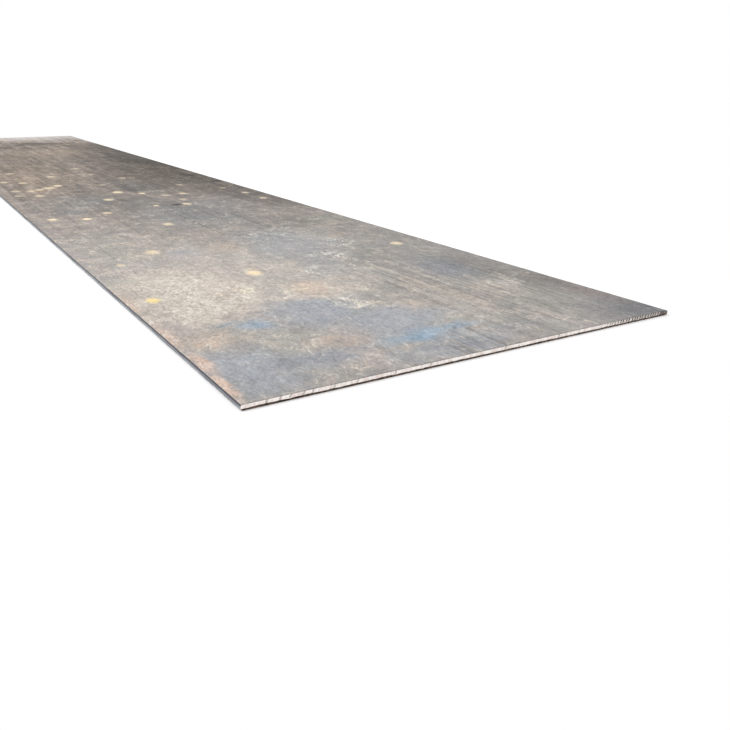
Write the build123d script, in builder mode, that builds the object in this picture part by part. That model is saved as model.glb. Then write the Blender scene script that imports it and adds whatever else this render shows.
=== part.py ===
from build123d import *
import os

# One hot-rolled steel plate, rolled as wide strip and sheared to length.
# Its length runs along Y, its width along X, and it lies flat on Z = 0 with the origin under its middle.

# Plate size, in millimetres
plate_length = 9000.0
plate_width = 1500.0
plate_thickness = 16.0

# Mill edges: the long sides are left as the rolls squeezed them out, swollen between soft corners
mill_edge_bulge = 3.2
mill_corner_radius = 2.5

# Sheared ends: the blade draws the skin over, rubs a bright land square, and the rest breaks away under it
rollover_width = 2.2
rollover_depth = 1.2
blade_clearance = 1.4
burnish_share = 0.65

# How far the cutting shapes run past the steel
cut_overrun = 5.0

# Half the rolled section, from the flat of one skin round the swollen side to the other skin
flat_half_width = plate_width / 2 - mill_edge_bulge
mid_height = plate_thickness / 2

# Depth below the drawn-over skin at which the bright land ends and the break begins
break_depth = plate_thickness * burnish_share

# Each end is cut in a plane across the plate: its x runs out of the end, and its y into the thickness
# from the skin that the blade drew over. That is the upper skin at the front and the lower one at the back,
# because one stroke of the shear leaves opposite faces on the two plates that it parts.
front_end = Plane(origin=(0, -plate_length / 2, plate_thickness), x_dir=(0, -1, 0), z_dir=(1, 0, 0))
back_end = Plane(origin=(0, plate_length / 2, 0), x_dir=(0, 1, 0), z_dir=(1, 0, 0))

with BuildPart() as steel_plate:
    # The rolled section, drawn across the plate and run along its whole length
    with BuildSketch(Plane.XZ) as rolled_section:
        with BuildLine():
            lower_skin = Line((-flat_half_width, 0), (flat_half_width, 0))
            right_side = ThreePointArc(
                lower_skin @ 1, (plate_width / 2, mid_height), (flat_half_width, plate_thickness)
            )
            upper_skin = Line(right_side @ 1, (-flat_half_width, plate_thickness))
            ThreePointArc(upper_skin @ 1, (-plate_width / 2, mid_height), lower_skin @ 0)
        make_face()
        fillet(rolled_section.vertices(), radius=mill_corner_radius)
    extrude(amount=plate_length / 2, both=True)

    # The two sheared ends: what lies outside the rollover, the bright land and the break is cut off
    for end_plane in (front_end, back_end):
        with BuildSketch(end_plane) as offcut:
            with BuildLine():
                rollover = EllipticalCenterArc(
                    (-rollover_width, rollover_depth),
                    rollover_width,
                    rollover_depth,
                    start_angle=-90,
                    arc_size=90,
                )
                bright_land = Line(rollover @ 1, (0, break_depth))
                broken_face = Line(bright_land @ 1, (-blade_clearance, plate_thickness))
                Polyline(
                    broken_face @ 1,
                    (-blade_clearance, plate_thickness + cut_overrun),
                    (cut_overrun, plate_thickness + cut_overrun),
                    (cut_overrun, -cut_overrun),
                    (-rollover_width, -cut_overrun),
                    rollover @ 0,
                )
            make_face()
        extrude(amount=plate_width / 2 + cut_overrun, both=True, mode=Mode.SUBTRACT)

steel_plate.part.label = "steel_plate"

os.makedirs("parts", exist_ok=True)
export_step(steel_plate.part, "parts/steel_plate.step")
print("steel_plate", steel_plate.part.volume, steel_plate.part.bounding_box())
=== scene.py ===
# %% [markdown]
# # A hot-rolled steel plate
#
# The object is one plate of steel, as a mill sells it: rolled hot, left with its dark skin of mill scale,
# and sheared to length. It is a very plain shape, so the lesson is about what makes plain steel look real:
# the rounded sides that the rolls leave, the three zones of a sheared end, and a skin in which grey scale,
# blue temper colours, brown rust haze and old drops of water lie over each other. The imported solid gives
# the plate's size, and everything below is measured from it, in metres.

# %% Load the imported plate
import math
import random

import bmesh
import bpy
from mathutils import Matrix, Vector


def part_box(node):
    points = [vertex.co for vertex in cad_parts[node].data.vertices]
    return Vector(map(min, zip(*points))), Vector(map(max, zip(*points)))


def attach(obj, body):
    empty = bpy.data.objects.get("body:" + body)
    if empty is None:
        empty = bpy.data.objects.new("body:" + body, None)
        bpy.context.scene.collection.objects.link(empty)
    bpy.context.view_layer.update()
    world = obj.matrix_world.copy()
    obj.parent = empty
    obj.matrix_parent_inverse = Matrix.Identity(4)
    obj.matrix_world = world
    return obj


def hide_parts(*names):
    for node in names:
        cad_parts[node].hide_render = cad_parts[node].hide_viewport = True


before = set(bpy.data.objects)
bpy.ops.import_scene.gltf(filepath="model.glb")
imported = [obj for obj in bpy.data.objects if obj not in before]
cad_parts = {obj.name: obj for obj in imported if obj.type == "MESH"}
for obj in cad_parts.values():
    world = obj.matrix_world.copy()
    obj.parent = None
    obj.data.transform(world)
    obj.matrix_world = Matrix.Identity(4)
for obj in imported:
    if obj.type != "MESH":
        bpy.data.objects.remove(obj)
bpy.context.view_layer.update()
plate_low, plate_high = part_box("steel_plate")
plate_width, plate_length, plate_thickness = plate_high - plate_low
half_width = plate_width / 2
half_length = plate_length / 2
print("plate, metres:", round(plate_width, 4), round(plate_length, 4), round(plate_thickness, 4))

# %% [markdown]
# ## The camera
#
# A long plate is all perspective: a wide lens close to one corner makes the near end large and lets the
# sides run together. The camera is placed from that corner, a little to its left, in front of it and above
# it, and is turned to the right, dipped and rolled by three angles. The focal length was worked out in
# pixels of a square picture, so the lens follows from the sensor's width.

# %% Camera
camera_left_of_corner = 0.600
camera_before_corner = 1.512
camera_above_corner = 0.705
camera_turn = math.radians(31.77)
camera_dip = math.radians(20.68)
camera_roll = math.radians(0.30)
picture_side_px = 730
focal_length_px = 760.6
sensor_width_mm = 36.0

bpy.ops.object.camera_add()
camera = bpy.context.object
camera.name = "corner_camera"
camera.data.sensor_width = sensor_width_mm
camera.data.lens = sensor_width_mm * focal_length_px / picture_side_px
camera_place = Vector((
    plate_low.x - camera_left_of_corner,
    plate_low.y - camera_before_corner,
    plate_high.z + camera_above_corner,
))
camera.matrix_world = (
    Matrix.Translation(camera_place)
    @ Matrix.Rotation(-camera_turn, 4, "Z")
    @ Matrix.Rotation(math.radians(90) - camera_dip, 4, "X")
    @ Matrix.Rotation(camera_roll, 4, "Z")
)
bpy.context.scene.camera = camera
bpy.context.scene.view_settings.view_transform = "Standard"
print("lens, mm:", round(camera.data.lens, 2), "place:", [round(c, 3) for c in camera_place])

# %% [markdown]
# ## Node helpers
#
# The world and every finish below are trees of shader nodes. By hand one adds a node, types its values and
# draws its links. `put` does those three things in one line: a value that is already a socket is linked,
# and anything else is typed into the socket. The other helpers name nodes that come up again and again.

# %% Node helpers
def put(tree, kind, inputs, **settings):
    """Adds a shader node, makes its settings, and types or links its inputs."""
    node = tree.nodes.new("ShaderNode" + kind)
    for name, value in settings.items():
        setattr(node, name, value)
    for key, value in inputs.items():
        if isinstance(value, bpy.types.NodeSocket):
            tree.links.new(value, node.inputs[key])
        else:
            node.inputs[key].default_value = value
    return node


def calculate(tree, operation, first, second=0.0, **settings):
    return put(tree, "Math", {0: first, 1: second}, operation=operation, **settings).outputs[0]


def times(tree, first, second):
    return calculate(tree, "MULTIPLY", first, second)


def fade(tree, value, start, end, low=0.0, high=1.0):
    """Goes softly from low to high while value goes from start to end."""
    inputs = {"Value": value, "From Min": start, "From Max": end, "To Min": low, "To Max": high}
    return put(tree, "MapRange", inputs, interpolation_type="SMOOTHSTEP").outputs[0]


print("node helpers ready")

# %% [markdown]
# ## Studio world
#
# The plate is shown in even studio light on white. A photographed sky would print its own colours on the
# steel, so the world is one plain white. Its fill and the lamp below are set together, so that a colour
# comes out about as bright as it is written. The Light Path node tells the kinds of rays apart: what the
# camera or a reflection sees of the world is full white, whatever the fill.

# %% World
world_fill = 0.78
background_white = 1.0

world = bpy.data.worlds.new("studio_world")
bpy.context.scene.world = world
world.use_nodes = True
world_tree = world.node_tree
world_tree.nodes.clear()
rays = put(world_tree, "LightPath", {}).outputs
seen_directly = calculate(world_tree, "ADD", rays["Is Camera Ray"], rays["Is Glossy Ray"])
seen_directly = calculate(world_tree, "ADD", seen_directly, rays["Is Transmission Ray"], use_clamp=True)
world_level = fade(world_tree, seen_directly, 0.0, 1.0, low=world_fill, high=background_white)
sky = put(world_tree, "Background", {"Color": (1, 1, 1, 1), "Strength": world_level})
put(world_tree, "OutputWorld", {"Surface": sky.outputs[0]})
print("world fill", world_fill)

# %% [markdown]
# ## Soft lamp
#
# With the world alone the skin, the side and the end would all be equally bright. A lamp overhead and to
# the left gives each its own level. A sun lamp would draw a hard shadow, so this is an area lamp, larger
# than the plate is wide.

# %% Soft lamp
lamp_size = Vector((7.0, 12.0))
lamp_place = Vector((-3.5, -1.5, 6.0))
lamp_watts = 290

bpy.ops.object.light_add(type="AREA", location=lamp_place)
lamp = bpy.context.object
lamp.name = "soft_overhead_lamp"
lamp.data.shape = "RECTANGLE"
lamp.data.size, lamp.data.size_y = lamp_size
lamp.data.energy = lamp_watts
lamp.rotation_euler = (-lamp_place).to_track_quat("-Z", "Y").to_euler()
print("lamp", lamp_watts, "W")

# %% [markdown]
# ## Studio floor
#
# The plate lies on a white floor. White paint alone turns grey where less light falls, and a horizon would
# show. So the floor near the plate is matt, to take the shadow, with a faint glow that lifts its lit parts
# to white, and away from the plate it fades into a plain white glow. The fade is measured from the plate's
# outline: the coordinates are folded into one quarter, and what lies inside the outline counts as zero.

# %% Floor disc
floor_radius = 80.0
floor_corners = 96
floor_gap = 0.0002

bpy.ops.object.select_all(action="DESELECT")
bpy.ops.mesh.primitive_circle_add(
    vertices=floor_corners, radius=floor_radius, fill_type="NGON", location=(0, 0, -floor_gap)
)
floor = bpy.context.object
floor.name = "studio_floor"
bpy.ops.object.transform_apply(location=True, rotation=True, scale=True)
print("floor radius", floor_radius)

# %% Bare finish helper
def new_finish(name):
    """A new material with only an output and a Principled shader, and the piece's own coordinates."""
    material = bpy.data.materials.new(name)
    material.use_nodes = True
    tree = material.node_tree
    tree.nodes.clear()
    shader = put(tree, "BsdfPrincipled", {})
    put(tree, "OutputMaterial", {"Surface": shader.outputs[0]})
    where = put(tree, "TexCoord", {}).outputs["Object"]
    return material, tree, shader, where


print("bare finish helper ready")

# %% Floor finish
floor_white = 0.93
floor_lift = 0.12
glow_starts_at = 0.06
glow_full_at = 0.60

floor_finish, ground, floor_shader, floor_where = new_finish("white_floor")
floor_shader.inputs["Base Color"].default_value = (floor_white, floor_white, floor_white, 1)
floor_shader.inputs["Roughness"].default_value = 1.0
floor_shader.inputs["Specular IOR Level"].default_value = 0.0
floor_shader.inputs["Emission Color"].default_value = (1, 1, 1, 1)
floor_shader.inputs["Emission Strength"].default_value = floor_lift
folded = put(ground, "VectorMath", {0: floor_where}, operation="ABSOLUTE").outputs[0]
plate_corner = (half_width, half_length, 0)
beyond = put(ground, "VectorMath", {0: folded, 1: plate_corner}, operation="SUBTRACT").outputs[0]
beyond = put(ground, "VectorMath", {0: beyond, 1: (0, 0, 0)}, operation="MAXIMUM").outputs[0]
distance = put(ground, "VectorMath", {0: beyond}, operation="LENGTH").outputs["Value"]
glow_share = fade(ground, distance, glow_starts_at, glow_full_at)
glow = put(ground, "Emission", {"Color": (1, 1, 1, 1), "Strength": background_white})
floor_mix = put(ground, "MixShader", {0: glow_share, 1: floor_shader.outputs[0], 2: glow.outputs[0]})
floor_output = next(n for n in ground.nodes if n.type == "OUTPUT_MATERIAL")
ground.links.new(floor_mix.outputs[0], floor_output.inputs["Surface"])
floor.data.materials.append(floor_finish)
print("floor glows fully", glow_full_at, "m from the plate")

# %% [markdown]
# ## The slab
#
# The plate starts as a cube stretched to the plate's size. Edges and faces are picked in code by where they
# are, as one would click them, and the operators then act on what is picked.

# %% Picking helpers
tiny = 1e-5
straight_share = 0.999


def pick(piece, kind, test):
    """In edit mode, selects only the verts, edges or faces of a piece that pass a test, and counts them."""
    bpy.ops.mesh.select_mode(type={"verts": "VERT", "edges": "EDGE", "faces": "FACE"}[kind])
    bpy.ops.mesh.select_all(action="DESELECT")
    mesh = bmesh.from_edit_mesh(piece.data)
    chosen = [item for item in getattr(mesh, kind) if test(item)]
    for item in chosen:
        item.select_set(True)
    bmesh.update_edit_mesh(piece.data)
    return len(chosen)


def runs_along(edge, axis, at_least=0.0):
    """True for an edge that runs along axis 0, 1 or 2 and is longer than at_least."""
    step = edge.verts[1].co - edge.verts[0].co
    return abs(step[axis]) > max(straight_share * step.length, at_least)


print("picking helpers ready")

# %% Slab
bpy.ops.object.select_all(action="DESELECT")
bpy.ops.mesh.primitive_cube_add(
    size=1, location=(0, 0, plate_thickness / 2), scale=(plate_width, plate_length, plate_thickness)
)
plate = bpy.context.object
plate.name = "rolled_plate"
bpy.ops.object.transform_apply(location=True, rotation=True, scale=True)
print("slab faces:", len(plate.data.polygons))

# %% [markdown]
# ## Mill edges
#
# The long sides were never cut. The rolls squeezed them out, so they are rounded and stand a little proud
# in the middle. A bevel of half the thickness would give a full half round, which is too much, so the
# half round is then squeezed towards the side with a scale along X until only the real bulge is left.

# %% Mill edges
mill_edge_bulge = 0.0032
half_round_share = 0.48
half_round_steps = 5
half_round = half_round_share * plate_thickness
flat_half_width = half_width - mill_edge_bulge

bpy.ops.object.mode_set(mode="EDIT")
pick(plate, "edges", lambda e: runs_along(e, 1))
bpy.ops.mesh.bevel(offset=half_round, segments=half_round_steps, profile=0.5, affect="EDGES")
for side in (-1, 1):
    pick(plate, "verts", lambda v: side * v.co.x > half_width - half_round - tiny)
    bpy.ops.transform.resize(
        value=(mill_edge_bulge / half_round, 1, 1), center_override=(side * half_width, 0, 0)
    )
bpy.ops.object.mode_set(mode="OBJECT")
print("faces with round sides:", len(plate.data.polygons))

# %% [markdown]
# ## Sheared ends
#
# A guillotine shear leaves three zones on an end. The blade first draws the skin over in a soft curve, then
# rubs a bright upright land, and at last the rest breaks away in a rough face that leans back under the
# land. The front end has its land above its break. A stroke of the shear leaves opposite faces on the two
# pieces that it parts, so the back end is the other way up. Cuts right across the plate make rows close to
# each end, and a slanting cut that clears what lies outside it makes the break, more exactly than moved
# edges would.

# %% Cuts across the ends
break_lean = 0.0014
burnish_share = 0.65
end_row_distances = (0.0300, 0.0120, 0.0050, 0.0022, 0.0012, 0.0005)
cut_tolerance = 1e-7
break_drop = (1 - burnish_share) * plate_thickness


def cut(place, normal, cut_off=False):
    """Cuts what is picked along a plane. With cut_off, what lies outside goes and the opening is closed."""
    bpy.ops.mesh.bisect(
        plane_co=place, plane_no=normal, threshold=cut_tolerance, use_fill=cut_off, clear_outer=cut_off
    )


bpy.ops.object.mode_set(mode="EDIT")
for end in (-1, 1):
    for distance_from_end in end_row_distances:
        bpy.ops.mesh.select_all(action="SELECT")
        cut((0, end * (half_length - distance_from_end), 0), (0, 1, 0))
    break_height = break_drop if end < 0 else plate_thickness - break_drop
    bpy.ops.mesh.select_all(action="SELECT")
    cut((0, end * half_length, break_height), (0, end * break_drop, end * break_lean), cut_off=True)
bpy.ops.mesh.select_all(action="SELECT")
bpy.ops.mesh.normals_make_consistent(inside=False)
bpy.ops.object.mode_set(mode="OBJECT")
print("faces with broken ends:", len(plate.data.polygons))

# %% [markdown]
# ## The skin drawn over
#
# The blade drags the skin down before it bites, so the land begins with a soft curve and not with a corner.
# A bevel would be as wide as it is deep, and this curve isn't. So the rows that the cuts left close to the
# end are pressed flat, each to the level that a quarter of an ellipse has there.

# %% Rollover
rollover_width = 0.0022
rollover_depth = 0.0012

bpy.ops.object.mode_set(mode="EDIT")
for end in (-1, 1):
    for row in (*end_row_distances, 0.0):
        if row >= rollover_width:
            continue
        drop = rollover_depth * (1 - math.sqrt(1 - (1 - row / rollover_width) ** 2))
        level = plate_thickness - drop if end < 0 else drop
        pick(plate, "verts", lambda v: abs(end * v.co.y - half_length + row) < tiny
             and end * (level - v.co.z) > 0)
        bpy.ops.transform.resize(value=(1, 1, 0), center_override=(0, 0, level))
bpy.ops.object.mode_set(mode="OBJECT")
print("skins drawn over by", rollover_depth)

# %% [markdown]
# ## Rows for the wear
#
# Sheared and rolled steel is uneven at the scale of a millimetre, and the wear below moves single vertices,
# so the end faces and the sides need many of them. Cuts come first: lengthwise ones close to each side,
# which hold the round sides in place, and a row through the end faces at each height that the wear needs.

# %% Rows on the end faces
end_height_shares = (0.12, 0.24, 0.35, 0.50, 0.65, 0.76, 0.88)
side_hold = 0.004
square_on = 0.9


def looks_along(face, axis):
    """True for a face that looks along axis 0, 1 or 2, one way or the other."""
    return abs(face.normal[axis]) > square_on


bpy.ops.object.mode_set(mode="EDIT")
for side in (-1, 1):
    bpy.ops.mesh.select_all(action="SELECT")
    cut((side * (flat_half_width - side_hold), 0, 0), (1, 0, 0))
    pick(plate, "faces", lambda f: looks_along(f, 1))
    cut((side * flat_half_width, 0, 0), (1, 0, 0))
for share in end_height_shares:
    pick(plate, "faces", lambda f: looks_along(f, 1))
    cut((0, 0, share * plate_thickness), (0, 0, 1))
bpy.ops.object.mode_set(mode="OBJECT")
print("faces with end rows:", len(plate.data.polygons))

# %% [markdown]
# ## Columns and side rows
#
# The blade's marks are a few millimetres wide, so the ends get columns that fine, and the sides get rows.
# A Subdivision modifier would make the whole skin as fine, with more than a million faces. Here the long
# edges are subdivided a first time everywhere, and a second time only close to the ends and on the sides.

# %% Rows along and across
coarse_columns = 100
fine_columns_each = 5
skin_rows = 60
edge_rows_each = 20
end_zone = end_row_distances[1]
column_width = 2 * (flat_half_width - side_hold) / (coarse_columns * fine_columns_each)

bpy.ops.object.mode_set(mode="EDIT")
pick(plate, "edges", lambda e: runs_along(e, 0, half_width))
bpy.ops.mesh.subdivide(number_cuts=coarse_columns - 1)
pick(plate, "edges", lambda e: runs_along(e, 1, half_length))
bpy.ops.mesh.subdivide(number_cuts=skin_rows - 1)
pick(plate, "edges", lambda e: runs_along(e, 0, side_hold * 2)
     and abs(e.verts[0].co.y) > half_length - end_zone - tiny)
bpy.ops.mesh.subdivide(number_cuts=fine_columns_each - 1)
pick(plate, "edges", lambda e: runs_along(e, 1, end_row_distances[0])
     and abs(e.verts[0].co.x) > flat_half_width - tiny)
bpy.ops.mesh.subdivide(number_cuts=edge_rows_each - 1)
bpy.ops.object.mode_set(mode="OBJECT")
print("faces with all rows:", len(plate.data.polygons), "column width:", round(column_width, 5))

# %% [markdown]
# ## A slot for each zone
#
# Scale, rolled side, bright land and broken steel each look different. One material could tell them apart
# by coordinates, but a slot for each is plainer. The zones are easiest to pick while they are still smooth,
# so their faces get numbered slots now, and the finishes go into the slots later.

# %% Slots
slots = range(4)
skin_slot, side_slot, land_slot, break_slot = slots
most_turn_of_side = 0.5
most_tilt_of_end = 0.7
least_tilt_of_break = 0.1


def is_side(face):
    return abs(face.calc_center_median().x) > flat_half_width and abs(face.normal.y) < most_turn_of_side


def is_end(face):
    at_end = abs(face.calc_center_median().y) > half_length - break_lean - tiny
    return at_end and abs(face.normal.z) < most_tilt_of_end


def is_break(face):
    return is_end(face) and looks_along(face, 1) and abs(face.normal.z) > least_tilt_of_break


for slot_number in slots:
    bpy.ops.object.material_slot_add()
bpy.ops.object.mode_set(mode="EDIT")
for slot_number, test in ((side_slot, is_side), (land_slot, is_end), (break_slot, is_break)):
    count = pick(plate, "faces", test)
    plate.active_material_index = slot_number
    bpy.ops.object.material_slot_assign()
    print("slot", slot_number, "faces:", count)
bpy.ops.object.mode_set(mode="OBJECT")

# %% [markdown]
# ## Displace helpers
#
# Uneven steel could be sculpted by hand, but nine metres of it are quicker with a Displace modifier, which
# moves a vertex group by a cloud texture. An empty serves as a ruler for the clouds: its scale sets their
# size along each axis, and it goes once the modifier is applied.

# %% Displace helpers
def gather(piece, name, test):
    """Puts the vertices that pass a test into a new vertex group."""
    bpy.ops.object.mode_set(mode="EDIT")
    count = pick(piece, "verts", test)
    bpy.ops.object.vertex_group_add()
    piece.vertex_groups.active.name = name
    bpy.ops.object.vertex_group_assign()
    bpy.ops.object.mode_set(mode="OBJECT")
    print(name, "vertices:", count)


def roughen(piece, group, cloud_size, depth, direction="NORMAL", still_level=1.0):
    """Displaces a vertex group by clouds of cloud_size metres along X, Y and Z."""
    texture = bpy.data.textures.new(group + "_clouds", "CLOUDS")
    texture.noise_scale = 1.0
    texture.noise_depth = 2
    bpy.ops.object.empty_add()
    ruler = bpy.context.object
    ruler.scale = cloud_size
    bpy.context.view_layer.update()
    bpy.ops.object.select_all(action="DESELECT")
    piece.select_set(True)
    bpy.context.view_layer.objects.active = piece
    bpy.ops.object.modifier_add(type="DISPLACE")
    rough = piece.modifiers[-1]
    rough.texture = texture
    rough.texture_coords = "OBJECT"
    rough.texture_coords_object = ruler
    rough.vertex_group = group
    rough.direction = direction
    rough.mid_level = still_level
    rough.strength = depth
    bpy.ops.object.modifier_apply(modifier=rough.name)
    bpy.data.objects.remove(ruler)
    bpy.data.textures.remove(texture)


print("displace helpers ready")

# %% [markdown]
# ## Rough sides
#
# A rolled side is never straight to the millimetre: it ripples along its length, and loose scale leaves
# pits. A bump in the material would leave the outline ruler straight, so the mesh itself is moved. The
# steel only ever goes inwards, so the plate keeps its outer size.

# %% Rough sides
side_ripple = 0.0012
ripple_size = (1.0, 0.16, 0.012)
side_pitting = 0.0006
pit_size = (0.02, 0.022, 0.006)

gather(plate, "rolled_sides", lambda v: abs(v.co.x) > flat_half_width - tiny)
roughen(plate, "rolled_sides", ripple_size, side_ripple)
roughen(plate, "rolled_sides", pit_size, side_pitting)
print("sides rippled by up to", side_ripple)

# %% [markdown]
# ## Rough ends
#
# On a sheared end the line between land and break wanders, a chipped blade scores the land in upright
# lines, and the broken face is all crumbs. The line could be drawn by hand, but every wave of it would have
# to be placed. Clouds that are narrow across the plate and long in the other directions give the line and
# the scores, and small round ones give the crumbs.

# %% Rough lands and breaks
break_wander = 0.0030
wander_size = (0.024, 1.0, 1.0)
wander_still_level = 0.3
land_scoring = 0.0003
score_size = (0.008, 1.0, 0.2)
break_crumbs = 0.0007
crumb_size = (0.009, 0.01, 0.004)
crumbs_below_line_share = 0.1
row_slack_share = 0.01
land_top_share = rollover_depth / plate_thickness


def end_depth_share(vertex):
    """How deep a vertex of an end lies below the drawn-over skin, as a share of the thickness."""
    share = vertex.co.z / plate_thickness
    return 1 - share if vertex.co.y < 0 else share


def on_end(vertex, end):
    return end * vertex.co.y > half_length - break_lean - tiny


for end, end_name in ((-1, "front"), (1, "back")):
    gather(plate, end_name + "_break_line", lambda v: on_end(v, end)
           and abs(end_depth_share(v) - burnish_share) < row_slack_share)
    roughen(plate, end_name + "_break_line", wander_size, -end * break_wander, "Z", wander_still_level)
    gather(plate, end_name + "_land", lambda v: on_end(v, end)
           and land_top_share + row_slack_share < end_depth_share(v) < burnish_share - row_slack_share)
    roughen(plate, end_name + "_land", score_size, -end * land_scoring, "Y", still_level=0.0)
    gather(plate, end_name + "_break", lambda v: on_end(v, end)
           and end_depth_share(v) > burnish_share + crumbs_below_line_share)
    roughen(plate, end_name + "_break", crumb_size, -end * break_crumbs, "Y", still_level=0.0)
bpy.ops.object.vertex_group_remove(all=True)
print("break lines wander by up to", break_wander)

# %% [markdown]
# ## Nicks and chatter marks
#
# Chips in the blade left single leaning nicks in the front land, and towards the right corner, where the
# blade met the plate last, it chattered and left a row of nearly even marks. Noise makes neither, so each
# mark is set by itself: its vertices are picked, pushed in a little, and given a value in the attribute
# `scored`, by which the land's finish darkens them later.

# %% List of marks
nick_places = (-0.682, -0.646, -0.620, -0.583, -0.558, -0.4985, -0.432, -0.318, -0.205, 0.055, 0.262)
nick_depth = 0.0008
nick_reach_share = 0.60
nick_darkness = 0.50
chatter_pitch = 0.0128
chatter_starts_at = 0.47
chatter_full_at = 0.56
chatter_ends_at = 0.735
chatter_pitch_spread = (0.80, 1.25)
chatter_depth = 0.0009
chatter_depth_spread = (0.5, 1.0)
land_left_share = 0.05
chatter_seed = 7

marks = [(place, nick_depth, nick_darkness, nick_reach_share) for place in nick_places]
dice = random.Random(chatter_seed)
place = chatter_starts_at
while place < chatter_ends_at:
    growth = min(1.0, (place - chatter_starts_at) / (chatter_full_at - chatter_starts_at))
    darkness = nick_darkness + (1 - nick_darkness) * growth
    depth = chatter_depth * dice.uniform(*chatter_depth_spread)
    marks.append((place, depth, darkness, burnish_share - land_left_share))
    place += chatter_pitch * dice.uniform(*chatter_pitch_spread)
print("marks on the land:", len(marks))

# %% Marks pressed in
mark_lean = 0.45
mark_drop_share = 1 / 3

bpy.ops.geometry.attribute_add(name="scored", domain="POINT", data_type="FLOAT")
bpy.ops.object.mode_set(mode="EDIT")
moved = 0
for place, depth, darkness, reach_share in marks:
    moved += pick(plate, "verts", lambda v: on_end(v, -1) and end_depth_share(v) < reach_share
                  and abs(v.co.x - place - mark_lean * (v.co.z - plate_thickness)) < column_width)
    bpy.ops.transform.translate(value=(0, depth, -depth * mark_drop_share))
    bpy.ops.mesh.attribute_set(value_float=darkness)
bpy.ops.object.mode_set(mode="OBJECT")
print("vertices pressed in:", moved)

# %% [markdown]
# ## Mill scale and its coordinates
#
# The skin is the whole picture here, so it gets many layers of colour, from the bottom up: grey scale,
# pale haze with painted sheen, a brown stretch, temper blues, painted shade at the front right corner,
# rust, roll streaks, scuffs, grime with painted shade, drops and grain. A painted image would need
# millions of pixels for nine metres, so every layer is made of nodes. The big zones sit at listed places,
# and everything smaller is noise. Coordinates that are pushed about by noise turn every outline ragged.
# The lower skin reads them end for end, so that it doesn't repeat the upper one.

# %% Noise helpers
def noise(tree, where, per_metre, detail=4.0, roughness=0.55, shift=0.0, twist=0.0, part="Fac"):
    """Cloudy noise. per_metre is how many clouds go into a metre along X, Y and Z. twist draws out wisps."""
    placed = {"Vector": where, "Location": (shift, shift, shift), "Scale": per_metre}
    inputs = {
        "Vector": put(tree, "Mapping", placed).outputs[0],
        "Scale": 1.0,
        "Detail": detail,
        "Roughness": roughness,
        "Distortion": twist,
    }
    return put(tree, "TexNoise", inputs).outputs[part]


def push_about(tree, where, per_metre, reach, shift=0.0):
    """Moves the points of a pattern about by up to reach metres, so that its outlines turn ragged."""
    cloud = noise(tree, where, (per_metre,) * 3, shift=shift, part="Color")
    centred = put(tree, "VectorMath", {0: cloud, 1: (0.5, 0.5, 0.5)}, operation="SUBTRACT").outputs[0]
    scaled = put(tree, "VectorMath", {0: centred, "Scale": reach * 2}, operation="SCALE").outputs[0]
    return put(tree, "VectorMath", {0: where, 1: scaled}, operation="ADD").outputs[0]


print("noise helpers ready")

# %% Skin coordinates
lower_skin_share = 0.3
upper_skin_share = 0.7

skin_finish, skin, skin_shader, plate_where = new_finish("mill_scale")
plate_axes = put(skin, "SeparateXYZ", {0: plate_where}).outputs
lower_skin_below = lower_skin_share * plate_thickness
upper_skin_above = upper_skin_share * plate_thickness
upper = fade(skin, plate_axes["Z"], lower_skin_below, upper_skin_above)
end_for_end = fade(skin, upper, 0.0, 1.0, low=-1.0, high=1.0)
turned_along = times(skin, plate_axes["Y"], end_for_end)
turned = {"X": plate_axes["X"], "Y": turned_along, "Z": plate_axes["Z"]}
skin_where = put(skin, "CombineXYZ", turned).outputs[0]
metres_along = calculate(skin, "ADD", turned_along, half_length)
big_ragged = push_about(skin, skin_where, per_metre=2.2, reach=0.18)
big_ragged = push_about(skin, big_ragged, per_metre=14.0, reach=0.06, shift=3.0)
soft_ragged = push_about(skin, skin_where, per_metre=9.0, reach=0.06, shift=7.0)
small_ragged = push_about(skin, soft_ragged, per_metre=40.0, reach=0.025, shift=1.0)
close_ragged = push_about(skin, skin_where, per_metre=30.0, reach=0.012, shift=6.0)
print("skin coordinates ready, nodes:", len(skin.nodes))

# %% [markdown]
# ## Layers of colour
#
# Stains and patches on steel have no sharp edge and no regular shape. Each patch below is a soft oval, which
# the ragged coordinates pull out of shape, and each table lists ovals by their place: metres across from
# the middle, metres along from the front end, half width, half length and strength. A layer is then one
# colour, laid over all below it by the ovals or by a noise.

# %% Colour helpers
def tone(red, green, blue):
    """A colour picked on a screen, each part from 0 to 255, as the linear numbers that shaders work in."""
    parts = [c / 255 for c in (red, green, blue)]
    linear = [c / 12.92 if c <= 0.04045 else ((c + 0.055) / 1.055) ** 2.4 for c in parts]
    return (*linear, 1.0)


def lay_over(tree, share, under, over, blend="MIX"):
    """One colour laid over another, by a share from 0 to 1. Sockets 6 and 7 are the node's two colours."""
    inputs = {0: share, 6: under, 7: over}
    return put(tree, "Mix", inputs, data_type="RGBA", blend_type=blend).outputs[2]


def lay_pattern(tree, under, pattern, none_at, full_at, over, most=1.0, place=None):
    """Lays a colour where a pattern goes from none_at to full_at, up to a share, and within a place."""
    share = fade(tree, pattern, none_at, full_at, high=most)
    if place is not None:
        share = times(tree, share, place)
    return lay_over(tree, share, under, over)


print("colour helpers ready")

# %% Patch helpers
def ovals(tree, where, table, core=0.15):
    """A soft mask of ovals: across, along, half width, half length and strength of each."""
    mask = None
    for across, along, half_across, half_along, strength in table:
        scale = (1 / half_across, 1 / half_along, 0)
        shift = (-across / half_across, (half_length - along) / half_along, 0)
        inputs = {0: where, 1: scale, 2: shift}
        unit = put(tree, "VectorMath", inputs, operation="MULTIPLY_ADD").outputs[0]
        reach = put(tree, "VectorMath", {0: unit}, operation="LENGTH").outputs["Value"]
        oval = fade(tree, reach, 1.0, core, high=strength)
        mask = oval if mask is None else calculate(tree, "MAXIMUM", mask, oval)
    return mask


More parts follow.
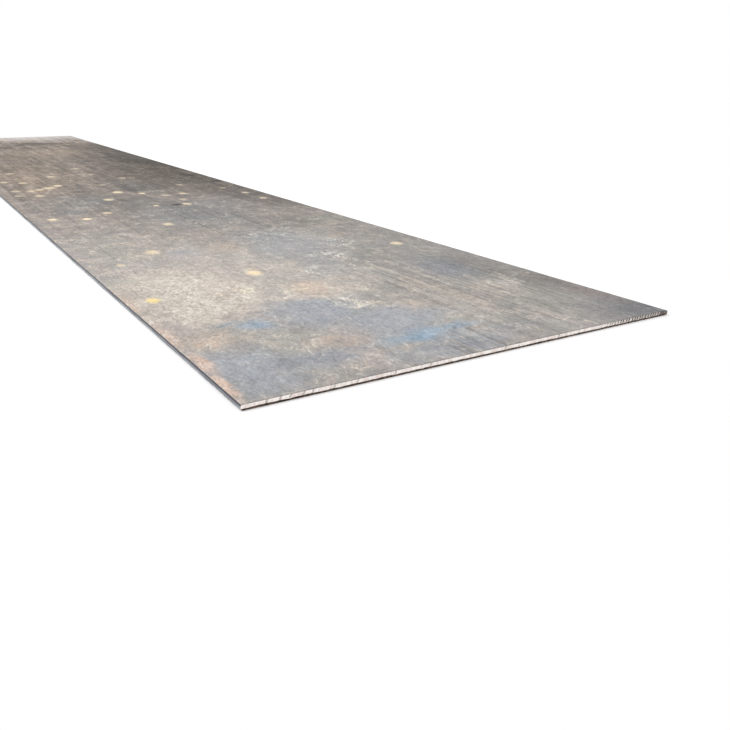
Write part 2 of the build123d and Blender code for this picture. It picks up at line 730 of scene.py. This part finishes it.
def lay_patches(under, where, table, over, core=0.15, grain=None):
    """Lays a colour on the skin in a table of ovals, broken up by a grain where one is given."""
    share = ovals(skin, where, table, core)
    if grain is not None:
        share = times(skin, share, grain)
    return lay_over(skin, share, under, over)


print("patch helpers ready")

# %% [markdown]
# ## Clouds of the scale
#
# Scale grows while the plate cools, in clouds of every size. One noise with much detail would look the same
# everywhere, so there are five, from half a metre down to a few millimetres, each drawn out a little along
# the rolling direction. They are shared by all layers, so that haze, rust and grime break up along the
# same grain. The slowest one sets two greys, which turn browner towards the far end.

# %% Noises and clouds
slow_clouds = noise(skin, skin_where, (2.4, 1.6, 1.0), detail=6.0, roughness=0.6)
mottle = noise(skin, skin_where, (12.0, 10.0, 10.0), detail=7.0, roughness=0.66, shift=2.0, twist=0.6)
small_mottle = noise(skin, skin_where, (26.0, 20.0, 20.0), 6.0, roughness=0.68, shift=11.0, twist=1.0)
scale_grain = noise(skin, skin_where, (52.0, 34.0, 30.0), detail=6.0, roughness=0.7, shift=5.0, twist=1.1)
fine_grain = noise(skin, skin_where, (190.0, 64.0, 200.0), detail=4.0, roughness=0.75, shift=9.0)
far_share = fade(skin, metres_along, 1.3, 3.0)
dim_scale = lay_over(skin, far_share, tone(154, 151, 147), tone(151, 141, 133))
pale_scale = lay_over(skin, far_share, tone(178, 174, 170), tone(174, 163, 157))
colour = lay_over(skin, fade(skin, slow_clouds, 0.32, 0.68), dim_scale, pale_scale)
print("scale clouds laid")

# %% [markdown]
# ## Mottle and tints
#
# Close up the grey is a mottle of warm, cool and brown spots, with a faint pink or green tint here and
# there. Along the right side the mottle is rubbed down, so it fades there. One noise gives both the warm
# spots, at its high places, and the cool ones, at its low places, and so the two never meet.

# %% Mottle and tints
rubbed_places = [
    (0.66, 0.25, 0.36, 0.55, 0.90),
    (0.58, 0.85, 0.30, 0.70, 0.60),
    (0.30, 0.50, 0.20, 0.50, 0.50),
]
unrubbed = calculate(skin, "SUBTRACT", 1.0, ovals(skin, big_ragged, rubbed_places))
mottles = [
    (mottle, 0.50, 0.60, tone(188, 174, 161), 0.45),
    (mottle, 0.47, 0.36, tone(146, 147, 151), 0.45),
    (small_mottle, 0.54, 0.62, tone(160, 145, 135), 0.30),
]
for pattern, none_at, full_at, mottle_tone, most in mottles:
    colour = lay_pattern(skin, colour, pattern, none_at, full_at, mottle_tone, most, unrubbed)
tints = noise(skin, skin_where, (4.5, 3.5, 1.0), detail=4.0, roughness=0.6, shift=15.0)
colour = lay_pattern(skin, colour, tints, 0.52, 0.62, tone(182, 168, 166), most=0.35)
colour = lay_pattern(skin, colour, tints, 0.46, 0.36, tone(164, 167, 159), most=0.30)
print("mottles:", len(mottles), "rubbed places:", len(rubbed_places))

# %% [markdown]
# ## Pale haze and painted sheen
#
# Where the scale has begun to rust, a thin pale film of warm dust lies on it, most of all left of the
# middle, and there the paler colour is partly a painted sheen that lightens the near left part of the skin.
# A plain oval of it would look like fog, so the scale's own grain thins it in small spots.

# %% Pale haze and painted sheen
pale_haze_and_sheen = [
    (-0.52, 1.00, 0.40, 0.75, 0.92),
    (-0.25, 1.30, 0.45, 0.80, 0.36),
    (-0.10, 0.85, 0.34, 0.30, 0.55),
    (0.12, 0.45, 0.30, 0.40, 0.28),
    (-0.35, 1.80, 0.55, 0.55, 0.24),
    (0.47, 0.47, 0.18, 0.22, 0.40),
    (0.555, 0.50, 0.06, 0.16, 0.62),
    (-0.66, 2.50, 0.22, 0.90, 0.14),
    (-0.74, 3.70, 0.07, 0.70, 0.50),
]
haze_grain = fade(skin, scale_grain, 0.36, 0.60, low=0.58)
# pale haze, partly real dust and partly painted sheen that lightens the near left of the skin
colour = lay_patches(colour, big_ragged, pale_haze_and_sheen, tone(217, 205, 192), grain=haze_grain)
print("pale haze patches:", len(pale_haze_and_sheen))

# %% [markdown]
# ## Brown stretch
#
# The far half of the skin has turned tan, and along its right side dark brown. Both are ovals again, the
# tan thinned by the same grain as the haze and the brown by its reverse, so that tan shows through
# wherever the brown is thin.

# %% Brown stretch
far_tan = [
    (-0.40, 5.00, 0.42, 1.60, 0.75),
    (-0.15, 6.60, 0.50, 1.10, 0.75),
    (0.22, 6.75, 0.28, 0.90, 0.80),
    (-0.55, 4.00, 0.25, 0.50, 0.45),
]
colour = lay_patches(colour, big_ragged, far_tan, tone(186, 170, 154), grain=haze_grain)
dark_brown = [
    (0.66, 4.90, 0.42, 1.90, 0.85),
    (0.32, 4.60, 0.40, 1.30, 0.40),
    (0.66, 7.10, 0.26, 1.00, 0.65),
    (0.12, 7.90, 0.26, 0.32, 0.80),
    (-0.20, 7.50, 0.20, 0.26, 0.80),
    (-0.02, 7.30, 0.20, 0.25, 0.50),
    (0.45, 7.45, 0.20, 0.28, 0.55),
    (0.62, 3.60, 0.40, 0.90, 0.35),
]
brown_grain = fade(skin, scale_grain, 0.70, 0.34, low=0.60)
colour = lay_patches(colour, big_ragged, dark_brown, tone(100, 85, 66), grain=brown_grain)
print("tan patches:", len(far_tan), "brown patches:", len(dark_brown))

# %% [markdown]
# ## Temper blues
#
# Steel that is still hot when the air reaches it takes on a film so thin that it looks blue. On this plate
# it is a grey wash in wide patches, greyest in the distance and broken by a little pink close by. The share
# of the near wash is kept, because the wisps further down are fainter on it.

# %% Blue washes
far_wash = [
    (0.08, 2.60, 0.48, 0.70, 0.80),
    (-0.33, 3.35, 0.20, 0.30, 0.75),
    (0.08, 3.90, 0.26, 0.50, 0.60),
    (-0.50, 2.95, 0.15, 0.18, 0.80),
    (-0.44, 3.13, 0.14, 0.16, 0.60),
    (-0.05, 3.20, 0.16, 0.22, 0.55),
    (0.30, 2.90, 0.20, 0.30, 0.50),
]
wash_grain = fade(skin, small_mottle, 0.30, 0.55, low=0.78)
colour = lay_patches(colour, big_ragged, far_wash, tone(147, 149, 149), grain=wash_grain)
near_wash = [
    (-0.24, 0.57, 0.22, 0.28, 1.00),
    (-0.08, 0.36, 0.30, 0.19, 0.95),
    (-0.63, 0.21, 0.20, 0.26, 0.95),
    (-0.45, 0.18, 0.20, 0.12, 0.60),
    (0.14, 1.60, 0.24, 0.45, 0.55),
    (0.08, 1.15, 0.14, 0.22, 0.40),
    (-0.32, 1.62, 0.10, 0.12, 0.45),
    (-0.05, 0.08, 0.34, 0.10, 0.70),
]
near_wash_share = times(skin, ovals(skin, big_ragged, near_wash, core=0.28), wash_grain)
colour = lay_over(skin, near_wash_share, colour, tone(162, 166, 173))
wash_shades = noise(skin, skin_where, (11.0, 9.0, 1.0), detail=4.0, roughness=0.6, shift=23.0)
colour = lay_pattern(skin, colour, wash_shades, 0.52, 0.64, tone(184, 174, 174), 0.26, near_wash_share)
print("wash patches:", len(far_wash) + len(near_wash))

# %% [markdown]
# ## Clear blue, slate and painted shade
#
# In a few small spots the film is a clear blue, and where the scale is thickest it is slate grey. The
# front right corner is painted darkest, as painted shade, and a mauve band of painted shadow runs along its
# edge. Small spots would be torn to pieces by the big ragged coordinates, so they read the softer and
# smaller ones.

# %% Clear blue, slate and painted shade
clear_blue = [
    (-0.10, 0.205, 0.22, 0.085, 1.00),
    (0.05, 0.225, 0.14, 0.040, 0.75),
    (-0.47, 0.535, 0.09, 0.095, 0.85),
    (-0.54, 0.600, 0.070, 0.040, 0.60),
    (-0.60, 0.280, 0.100, 0.060, 0.20),
]
clear_share = ovals(skin, soft_ragged, clear_blue, core=0.0)
colour = lay_over(skin, clear_share, colour, tone(149, 170, 188))
slate = [
    (0.49, 0.86, 0.16, 0.34, 0.80),
    (-0.01, 0.08, 0.17, 0.07, 0.70),
    (-0.47, 0.19, 0.17, 0.07, 0.60),
    (0.47, 0.72, 0.09, 0.12, 0.45),
    (-0.54, 0.60, 0.050, 0.025, 0.40),
]
colour = lay_patches(colour, small_ragged, slate, tone(140, 144, 153))
# painted shade: the front right corner is darkened
painted_shade_corner = [(0.72, 0.03, 0.36, 0.33, 0.92)]
colour = lay_patches(colour, small_ragged, painted_shade_corner, tone(114, 114, 119), core=0.0)
# painted shadow: a mauve band along the right edge near the front
painted_shadow_edge = [(0.73, 0.38, 0.12, 0.40, 0.58)]
colour = lay_patches(colour, small_ragged, painted_shadow_edge, tone(128, 118, 115), core=0.3)
print("clear blue spots:", len(clear_blue), "slate spots:", len(slate))

# %% [markdown]
# ## Rust stains
#
# Young rust shows as peach stains, and a narrow band of it runs along the left edge, where the scale cracks
# first. The stains on the skin are broken up a lot by the mottle. The band reads the closest ragged
# coordinates, so that it keeps to the edge.

# %% Rust stains
peach_rust = [
    (-0.12, 0.85, 0.13, 0.15, 0.85),
    (-0.65, 0.48, 0.10, 0.13, 0.65),
    (-0.32, 0.29, 0.14, 0.10, 0.58),
    (-0.36, 0.09, 0.12, 0.07, 0.32),
    (0.28, 0.60, 0.07, 0.40, 0.18),
    (0.10, 0.46, 0.15, 0.06, 0.30),
    (-0.38, 0.95, 0.10, 0.25, 0.35),
    (-0.10, 1.65, 0.14, 0.20, 0.35),
    (0.45, 1.65, 0.08, 0.12, 0.30),
    (-0.52, 3.90, 0.16, 0.24, 0.55),
    (-0.50, 4.60, 0.18, 0.60, 0.40),
]
rust_grain = fade(skin, small_mottle, 0.40, 0.60, low=0.25)
colour = lay_patches(colour, small_ragged, peach_rust, tone(211, 187, 167), grain=rust_grain)
edge_rust = [
    (-0.738, 0.13, 0.026, 0.17, 0.80),
    (-0.728, 0.30, 0.038, 0.15, 0.75),
    (-0.740, 0.58, 0.045, 0.22, 0.55),
    (-0.745, 0.98, 0.050, 0.26, 0.45),
]
edge_grain = fade(skin, small_mottle, 0.36, 0.54, low=0.55)
colour = lay_patches(colour, close_ragged, edge_rust, tone(228, 198, 178), core=0.2, grain=edge_grain)
print("rust stains:", len(peach_rust) + len(edge_rust))

# %% [markdown]
# ## Roll streaks
#
# The rolls print their own wear on the plate, as dark and tan bands and thin scratches that all run
# lengthwise. A noise that is stretched to about a metre along the plate and squeezed across it gives just
# that. The streaks are faint everywhere and strong in a few zones.

# %% Roll streaks
streak_zone = [
    (0.29, 0.50, 0.22, 0.70, 1.00),
    (0.06, 0.08, 0.24, 0.14, 1.00),
    (0.50, 0.95, 0.18, 0.45, 0.55),
    (0.52, 0.45, 0.26, 0.60, 0.70),
    (-0.62, 2.20, 0.12, 0.80, 0.35),
    (0.18, 2.30, 0.14, 0.80, 0.60),
]
faintest_streak = 0.10
strongest_streak = 0.70
streak_mask = ovals(skin, big_ragged, streak_zone, core=0.4)
streak_reach = fade(skin, streak_mask, 0.0, 1.0, low=faintest_streak, high=strongest_streak)
broad_streaks = noise(skin, skin_where, (56.0, 0.70, 1.0), detail=2.0, roughness=0.6, shift=2.0)
thin_streaks = noise(skin, skin_where, (150.0, 1.40, 1.0), detail=2.0, roughness=0.6, shift=4.0)
streaks = [
    (broad_streaks, 0.49, 0.36, tone(134, 127, 121)),
    (broad_streaks, 0.54, 0.68, tone(186, 176, 162)),
    (thin_streaks, 0.42, 0.33, tone(112, 107, 104)),
]
for pattern, none_at, full_at, streak_tone in streaks:
    colour = lay_pattern(skin, colour, pattern, none_at, full_at, streak_tone, place=streak_reach)
print("kinds of streak:", len(streaks), "zones:", len(streak_zone))

# %% [markdown]
# ## Hairlines and long scratches
#
# Handling leaves fine dark hairlines that wander, and now and then a scratch of a metre or more. A thin
# wandering line is where a smooth noise crosses its middle level, so a narrow band of that noise draws
# many of them at once. The long scratches are very slim ovals.

# %% Hairlines and long scratches
middle_level = 0.5
full_width_share = 0.2


def strokes(tree, where, per_metre, width, shift):
    """A mask of thin wandering lines: the places where a noise is close to its middle level."""
    level = noise(tree, where, per_metre, detail=2.0, shift=shift, twist=0.5)
    off_middle = calculate(tree, "ABSOLUTE", calculate(tree, "SUBTRACT", level, middle_level))
    return fade(tree, off_middle, width, full_width_share * width)


hair_place = fade(skin, small_mottle, 0.48, 0.58, high=0.35)
hairlines = strokes(skin, skin_where, (7.0, 3.5, 1.0), width=0.010, shift=13.0)
colour = lay_over(skin, times(skin, hairlines, hair_place), colour, tone(112, 105, 100))
long_scratches = [
    (-0.018, 2.35, 0.008, 0.80, 0.65),
    (-0.350, 2.20, 0.007, 0.60, 0.35),
    (0.236, 0.78, 0.006, 0.40, 0.45),
]
colour = lay_patches(colour, skin_where, long_scratches, tone(108, 102, 97), core=0.3)
print("long scratches:", len(long_scratches))

# %% [markdown]
# ## Scuffs
#
# Where something was dragged over the plate, the scale is scuffed to a whitish scribble. It is made of
# small flecks, the high places of a noise, and of short strokes, whichever is stronger, and it only shows
# inside a few zones.

# %% Scuffs
scuff_zone = [
    (0.33, 1.46, 0.11, 0.12, 1.00),
    (0.20, 1.28, 0.10, 0.12, 0.90),
    (0.25, 1.82, 0.18, 0.18, 0.90),
    (0.06, 1.78, 0.10, 0.14, 0.75),
    (-0.02, 1.07, 0.06, 0.10, 0.80),
    (-0.37, 0.90, 0.10, 0.14, 0.70),
    (-0.10, 0.60, 0.09, 0.10, 1.00),
    (-0.19, 0.84, 0.06, 0.06, 0.80),
    (-0.55, 0.95, 0.20, 0.30, 0.50),
    (0.55, 0.50, 0.10, 0.14, 0.40),
]
scuff_noise = noise(skin, close_ragged, (60.0, 34.0, 10.0), detail=3.0, shift=8.0, twist=0.4)
flecks = fade(skin, scuff_noise, 0.57, 0.63, high=0.8)
scribble_lines = strokes(skin, close_ragged, (30.0, 17.0, 1.0), width=0.050, shift=25.0)
scribbles = times(skin, scribble_lines, fade(skin, mottle, 0.44, 0.56))
scuff_pattern = calculate(skin, "MAXIMUM", flecks, scribbles)
scuffs = times(skin, scuff_pattern, ovals(skin, big_ragged, scuff_zone, core=0.4))
colour = lay_over(skin, scuffs, colour, tone(231, 228, 221))
print("scuff zones:", len(scuff_zone))

# %% [markdown]
# ## Smears
#
# A few cream smears lie among the scuffs, and one of them is a loop, as a wet rim leaves it. A loop is an
# oval from which a smaller oval is taken away.

# %% Smears
smears = [
    (-0.108, 0.605, 0.046, 0.084, 0.62),
    (-0.060, 0.560, 0.036, 0.012, 0.45),
    (-0.345, 0.900, 0.018, 0.055, 0.55),
    (-0.320, 0.935, 0.016, 0.055, 0.50),
    (-0.175, 0.845, 0.050, 0.016, 0.60),
    (-0.228, 0.826, 0.014, 0.018, 0.45),
]
loop_middle = [(-0.110, 0.612, 0.037, 0.070, 0.55)]
smear_mask = ovals(skin, close_ragged, smears, core=0.7)
loop_mask = ovals(skin, close_ragged, loop_middle, core=0.7)
smear_share = calculate(skin, "SUBTRACT", smear_mask, loop_mask, use_clamp=True)
colour = lay_over(skin, times(skin, smear_share, haze_grain), colour, tone(238, 229, 205))
print("smears:", len(smears))

# %% [markdown]
# ## Wisps
#
# Between the patches the scale is full of pale and dark feathery wisps, where it flaked. Strokes give them
# too, the pale ones where the mottle is warm and the dark ones where the small mottle is low. On the blue
# film and on the rubbed side the scale is smooth, so the wisps fade there.

# %% Wisps
washed = calculate(skin, "MAXIMUM", near_wash_share, clear_share)
calm = times(skin, fade(skin, washed, 0.0, 1.0, low=1.0, high=0.3), unrubbed)
pale_place = times(skin, fade(skin, mottle, 0.44, 0.58, high=0.58), calm)
pale_wisps = strokes(skin, close_ragged, (23.0, 10.0, 1.0), width=0.034, shift=17.0)
colour = lay_over(skin, times(skin, pale_wisps, pale_place), colour, tone(220, 212, 202))
dark_place = times(skin, fade(skin, small_mottle, 0.52, 0.40, high=0.24), calm)
dark_wisps = strokes(skin, close_ragged, (20.0, 8.0, 1.0), width=0.030, shift=19.0)
colour = lay_over(skin, times(skin, dark_wisps, dark_place), colour, tone(124, 119, 115))
print("wisps laid, skin nodes:", len(skin.nodes))

# %% [markdown]
# ## Grime and painted shade
#
# The far part of the skin and its right side are darker, in fine lines along the rolling direction, and
# there the mottle stands out more. The darkening is partly grime and partly painted shade, and the contrast
# that grows further along is partly a painted sheen. Grime and painted shade take light away from whatever
# lies below them, so their level is multiplied with the colour. Laid over as a colour of its own it would
# hide the patches.

# %% Grime and painted shade places
grime_and_shade_places = [
    (0.85, 5.10, 1.20, 3.80, 0.60),
    (0.80, 5.80, 0.70, 1.80, 0.72),
    (0.75, 3.10, 0.50, 1.00, 0.56),
    (0.10, 3.00, 0.80, 1.20, 0.24),
    (-0.02, 3.25, 0.62, 0.75, 0.36),
    (0.14, 4.55, 0.32, 1.05, 0.46),
    (0.12, 3.85, 0.34, 0.42, 0.57),
    (-0.58, 3.05, 0.24, 0.40, 0.30),
    (0.32, 2.10, 0.36, 0.52, 0.28),
    (0.00, 2.05, 0.55, 0.60, 0.18),
    (-0.45, 2.75, 0.70, 0.80, 0.20),
    (-0.24, 2.89, 0.30, 0.16, 0.38),
    (-0.55, 4.60, 1.00, 2.40, 0.34),
    (-0.40, 5.80, 0.80, 1.90, 0.42),
    (-0.10, 7.40, 0.90, 1.20, 0.30),
    (0.20, 7.80, 0.60, 0.30, 0.50),
    (0.80, 1.30, 0.60, 1.50, 0.20),
]
# grime, and painted shade that darkens the far part and the right side of the skin
grime_and_shade_light = calculate(skin, "SUBTRACT", 1.0, ovals(skin, big_ragged, grime_and_shade_places, core=0.4))
print("grime patches:", len(grime_and_shade_places))

# %% Grime and painted shade as light
def darken(tree, under, level):
    """Multiplies a colour by a level of light."""
    grey = put(tree, "CombineColor", {0: level, 1: level, 2: level}).outputs[0]
    return lay_over(tree, 1.0, under, grey, blend="MULTIPLY")


# the contrast of mottle and lines grows further along, partly as a painted sheen
mottle_low = fade(skin, metres_along, 2.2, 4.8, low=0.96, high=0.84)
mottle_high = fade(skin, metres_along, 2.2, 4.8, low=1.04, high=1.16)
mottle_light = fade(skin, mottle, 0.36, 0.64, mottle_low, mottle_high)
grime_and_shade_lines = noise(skin, skin_where, (26.0, 0.9, 1.0), detail=5.0, roughness=0.68, shift=21.0)
line_low = fade(skin, metres_along, 1.6, 4.4, low=0.97, high=0.72)
line_high = fade(skin, metres_along, 1.6, 4.4, low=1.03, high=1.30)
line_light = fade(skin, grime_and_shade_lines, 0.34, 0.66, line_low, line_high)
patchy_light = times(skin, mottle_light, line_light)
colour = darken(skin, colour, times(skin, grime_and_shade_light, patchy_light))
print("grime laid")

# %% [markdown]
# ## Dust, and the pale far end with painted sheen
#
# Brown dust warms the far part a little, and the last stretch before the back end is pale again, with the
# lines of grime and painted shade showing through. The pale stretch is partly lighter scale and partly a
# painted sheen, the bright reflection that far skin gives at a grazing view. The dust is multiplied, as
# grime is, and the pale stretch is laid over.

# %% Dust, and the pale far end with painted sheen
dust_tint = (0.94, 0.90, 0.85, 1.0)
dust_places = [(0.00, 6.00, 1.60, 3.20, 1.00)]
dust = ovals(skin, big_ragged, dust_places, core=0.5)
colour = lay_over(skin, dust, colour, dust_tint, blend="MULTIPLY")
# pale far end, partly lighter scale and partly painted sheen
end_haze_and_sheen = [
    (0.28, 8.95, 0.85, 0.85, 1.00),
    (-0.45, 9.00, 0.60, 0.70, 0.90),
]
end_haze_and_sheen_lines = fade(skin, grime_and_shade_lines, 0.34, 0.58, low=0.55)
colour = lay_patches(colour, big_ragged, end_haze_and_sheen, tone(218, 210, 206), grain=end_haze_and_sheen_lines)
print("pale patches at the far end:", len(end_haze_and_sheen))

# %% [markdown]
# ## Dried drops
#
# Drops of water dried on the upper skin and left cream spots, one yellow spot and a few dark stains. The
# drops of a noise or a particle system fall anywhere, and these are few and plain to see, so they are
# listed: metres across, metres along, size and strength. Water creeps along the rolling direction, so each
# is a little longer than wide. Those further along the plate are smaller and stronger.

# %% Cream drops
cream_drops = [
    (-0.610, 1.535, 0.020, 0.60),
    (-0.430, 1.710, 0.038, 0.70),
    (-0.205, 1.150, 0.036, 1.00),
    (-0.185, 1.215, 0.018, 0.40),
    (0.585, 1.345, 0.030, 0.75),
    (-0.160, 2.330, 0.032, 0.65),
    (-0.480, 2.690, 0.034, 0.80),
    (-0.640, 2.760, 0.034, 0.75),
    (-0.340, 2.830, 0.040, 0.45),
    (-0.030, 2.950, 0.026, 0.55),
    (0.150, 2.930, 0.042, 0.55),
    (0.190, 3.110, 0.040, 0.30),
    (0.640, 2.920, 0.032, 0.55),
    (0.640, 3.200, 0.034, 0.50),
    (0.600, 3.480, 0.030, 0.30),
    (0.270, 3.360, 0.038, 0.52),
    (0.150, 3.330, 0.036, 0.40),
    (0.045, 3.490, 0.036, 0.65),
    (-0.210, 3.320, 0.044, 0.60),
    (-0.075, 3.620, 0.048, 0.65),
    (0.390, 3.780, 0.034, 0.35),
    (-0.540, 3.690, 0.050, 0.40),
    (-0.420, 4.040, 0.060, 0.50),
    (-0.350, 4.130, 0.048, 0.60),
    (-0.555, 3.940, 0.040, 0.45),
    (-0.490, 3.985, 0.040, 0.50),
    (-0.640, 3.980, 0.046, 0.40),
    (-0.290, 4.690, 0.046, 0.40),
    (0.000, 4.700, 0.040, 0.30),
    (-0.017, 5.146, 0.044, 0.40),
    (-0.073, 4.026, 0.040, 0.30),
    (0.153, 4.352, 0.040, 0.32),
    (-0.655, 3.753, 0.036, 0.30),
    (-0.640, 4.500, 0.044, 0.42),
    (-0.530, 4.400, 0.046, 0.42),
    (-0.528, 5.036, 0.048, 0.38),
]
print("cream drops:", len(cream_drops))

# %% Drops laid
drop_stretch = 1.45
drop_spread = 1.18
far_drops_from = 2.5
far_drop_spread = 0.94
far_drop_strength = 1.3
round_drops = []
for across, along, size, share in cream_drops:
    is_far = along > far_drops_from
    half_across = size * (far_drop_spread if is_far else drop_spread)
    strength = min(1.0, share * far_drop_strength) if is_far else share
    round_drops.append((across, along, half_across, half_across * drop_stretch, strength))
drop_where = push_about(skin, skin_where, per_metre=45.0, reach=0.009, shift=4.0)
colour = lay_patches(colour, drop_where, round_drops, tone(249, 229, 194), core=0.3, grain=upper)
yellow_drops = [(-0.655, 0.965, 0.033, 0.048, 1.00)]
colour = lay_patches(colour, drop_where, yellow_drops, tone(246, 222, 160), core=0.3, grain=upper)
dark_drops = [
    (0.650, 4.290, 0.075, 0.085, 1.00),
    (0.690, 3.850, 0.060, 0.080, 0.90),
    (0.090, 2.930, 0.042, 0.046, 0.85),
    (0.634, 8.167, 0.042, 0.100, 0.85),
]
colour = lay_patches(colour, drop_where, dark_drops, tone(56, 48, 40), core=0.4, grain=upper)
print("drops laid:", len(round_drops) + len(yellow_drops) + len(dark_drops))

# %% [markdown]
# ## Grain and gloss of the skin
#
# Scale is a crust of tiny crystals. Grain of two sizes comes last and breaks up every patch, so that no
# outline stays smooth, and the skin ends in a thin dark line where the blade drew it over. The same grain
# drives the roughness and a faint bump. Crystals a fraction of a millimetre high are too small for the mesh.

# %% Grain
grain_low = fade(skin, metres_along, 1.5, 4.5, low=0.85, high=0.80)
grain_high = fade(skin, metres_along, 1.5, 4.5, low=1.14, high=1.20)
grain_light = fade(skin, scale_grain, 0.32, 0.68, grain_low, grain_high)
fine_light = fade(skin, fine_grain, 0.34, 0.66, low=0.84, high=1.12)
colour = darken(skin, colour, times(skin, grain_light, fine_light))
drawn_line_starts = 0.007
drawn_line_full = 0.002
colour = lay_pattern(
    skin, colour, metres_along, drawn_line_starts, drawn_line_full, tone(96, 92, 90), most=0.55
)
skin.links.new(colour, skin_shader.inputs["Base Color"])
print("skin nodes:", len(skin.nodes))

# %% Gloss and bump
dull_scale = 0.68
smooth_scale = 0.54
fine_relief_share = 0.4
crystal_height = 0.0008
bump_strength = 0.25

skin.links.new(fade(skin, scale_grain, 0.3, 0.7, dull_scale, smooth_scale), skin_shader.inputs["Roughness"])
skin_shader.inputs["Specular IOR Level"].default_value = 0.15
relief = calculate(skin, "ADD", scale_grain, times(skin, fine_grain, fine_relief_share))
bump_inputs = {"Strength": bump_strength, "Distance": crystal_height, "Height": relief}
skin.links.new(put(skin, "Bump", bump_inputs).outputs[0], skin_shader.inputs["Normal"])
print("roughness from", smooth_scale, "to", dull_scale)

# %% [markdown]
# ## Bright land
#
# The land is bare steel, rubbed almost white by the blade. It is partly metallic: fully metallic it would
# only mirror the white studio, and with none it would look painted. The attribute `scored` darkens the
# marks, dark specks are dirt in the pores, and towards the right corner, where the blade chattered, the
# front land is greyer. At the very corner it is painted darkest, as painted shade.

# %% Land finish
grey_starts_at = 0.46
grey_full_at = 0.66
corner_shade_starts_at = 0.700
corner_shade_full_at = 0.722

land_finish, land, land_shader, land_where = new_finish("bright_land")
upright = noise(land, land_where, (120.0, 40.0, 30.0), detail=4.0)
specks = noise(land, land_where, (110.0, 150.0, 170.0), detail=4.0, roughness=0.7, shift=3.0)
land_axes = put(land, "SeparateXYZ", {0: land_where}).outputs
across = land_axes["X"]
front_only = fade(land, land_axes["Y"], 0.0, -1.0)
scored = put(land, "Attribute", {}, attribute_name="scored").outputs["Fac"]
land_colour = lay_over(land, fade(land, upright, 0.35, 0.65), tone(226, 213, 207), tone(248, 243, 240))
land_layers = [
    (across, grey_starts_at, grey_full_at, tone(150, 142, 137), 0.50, front_only),
    (specks, 0.61, 0.70, tone(128, 112, 103), 0.8, None),
    (scored, 0.0, 1.0, tone(78, 68, 62), 0.95, None),
    # the last layer below is painted shade at the very corner of the front land
    (across, corner_shade_starts_at, corner_shade_full_at, tone(84, 78, 74), 0.85, front_only),
]
for layer in land_layers:
    land_colour = lay_pattern(land, land_colour, *layer)
land.links.new(land_colour, land_shader.inputs["Base Color"])
land_shader.inputs["Metallic"].default_value = 0.70
land_shader.inputs["Roughness"].default_value = 0.38
land_shader.inputs["Specular IOR Level"].default_value = 0.3
print("land nodes:", len(land.nodes))

# %% [markdown]
# ## Broken steel
#
# The break is dull and brown, with torn grains that rust at once, and its browns are kept dark, partly as
# painted shade under the land. Its crumbs are in the mesh already, so one noise between a dark and a
# lighter brown is enough, with a rough surface that hardly shines.

# %% Break finish
break_finish, broken, break_shader, break_where = new_finish("broken_steel")
crumbs = noise(broken, break_where, (90.0, 200.0, 190.0), detail=5.0, roughness=0.7)
# dark browns: the broken steel's own colour, partly painted shade
break_colour_and_shade = lay_over(broken, fade(broken, crumbs, 0.40, 0.62), tone(48, 38, 32), tone(116, 99, 88))
broken.links.new(break_colour_and_shade, break_shader.inputs["Base Color"])
break_shader.inputs["Roughness"].default_value = 0.8
break_shader.inputs["Specular IOR Level"].default_value = 0.15
print("break nodes:", len(broken.nodes))

# %% [markdown]
# ## Rolled side
#
# The rolled side has the skin's scale, but bluer, and it is painted dark along its corners, the most along
# the upper one: painted shade at the upper corner and a painted shadow at the foot, where it meets the
# floor. The height on the side, as a share of the thickness, places those two dark lines, so they stay at
# the corners along all nine metres.

# %% Side finish
side_finish, side_tree, side_shader, side_where = new_finish("rolled_side")
side_clouds = noise(side_tree, side_where, (30.0, 10.0, 90.0), detail=5.0, roughness=0.65)
side_height = put(side_tree, "SeparateXYZ", {0: side_where}).outputs["Z"]
height_share = calculate(side_tree, "DIVIDE", side_height, plate_thickness)
cloud_share = fade(side_tree, side_clouds, 0.34, 0.66)
side_colour = lay_over(side_tree, cloud_share, tone(112, 115, 122), tone(158, 161, 168))
# painted shade along both corners of the side, the lower one a painted shadow at the floor
lower_painted_shade = fade(side_tree, height_share, 0.16, 0.06, high=0.70)
upper_painted_shade = fade(side_tree, height_share, 0.58, 0.80, high=0.85)
painted_shade_lines = calculate(side_tree, "MAXIMUM", lower_painted_shade, upper_painted_shade)
side_colour = lay_over(side_tree, painted_shade_lines, side_colour, tone(52, 52, 56))
side_tree.links.new(side_colour, side_shader.inputs["Base Color"])
side_shader.inputs["Roughness"].default_value = 0.55
side_shader.inputs["Specular IOR Level"].default_value = 0.25
print("side nodes:", len(side_tree.nodes))

# %% [markdown]
# ## Finishes into the slots
#
# The four finishes go into the slots that were numbered before. Smoothing by angle keeps the corners of the
# ends sharp while the round sides are smooth. Plain smooth shading would blur those corners. The imported
# plate is then hidden, and the new plate hangs from the body root.

# %% Finishes into the slots
smooth_up_to = math.radians(35)
finishes = {
    skin_slot: skin_finish,
    side_slot: side_finish,
    land_slot: land_finish,
    break_slot: break_finish,
}
for slot_number, finish in finishes.items():
    plate.material_slots[slot_number].material = finish
bpy.ops.object.shade_smooth_by_angle(angle=smooth_up_to)
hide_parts("steel_plate")
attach(plate, "root")
print("finishes:", [slot.material.name for slot in plate.material_slots])
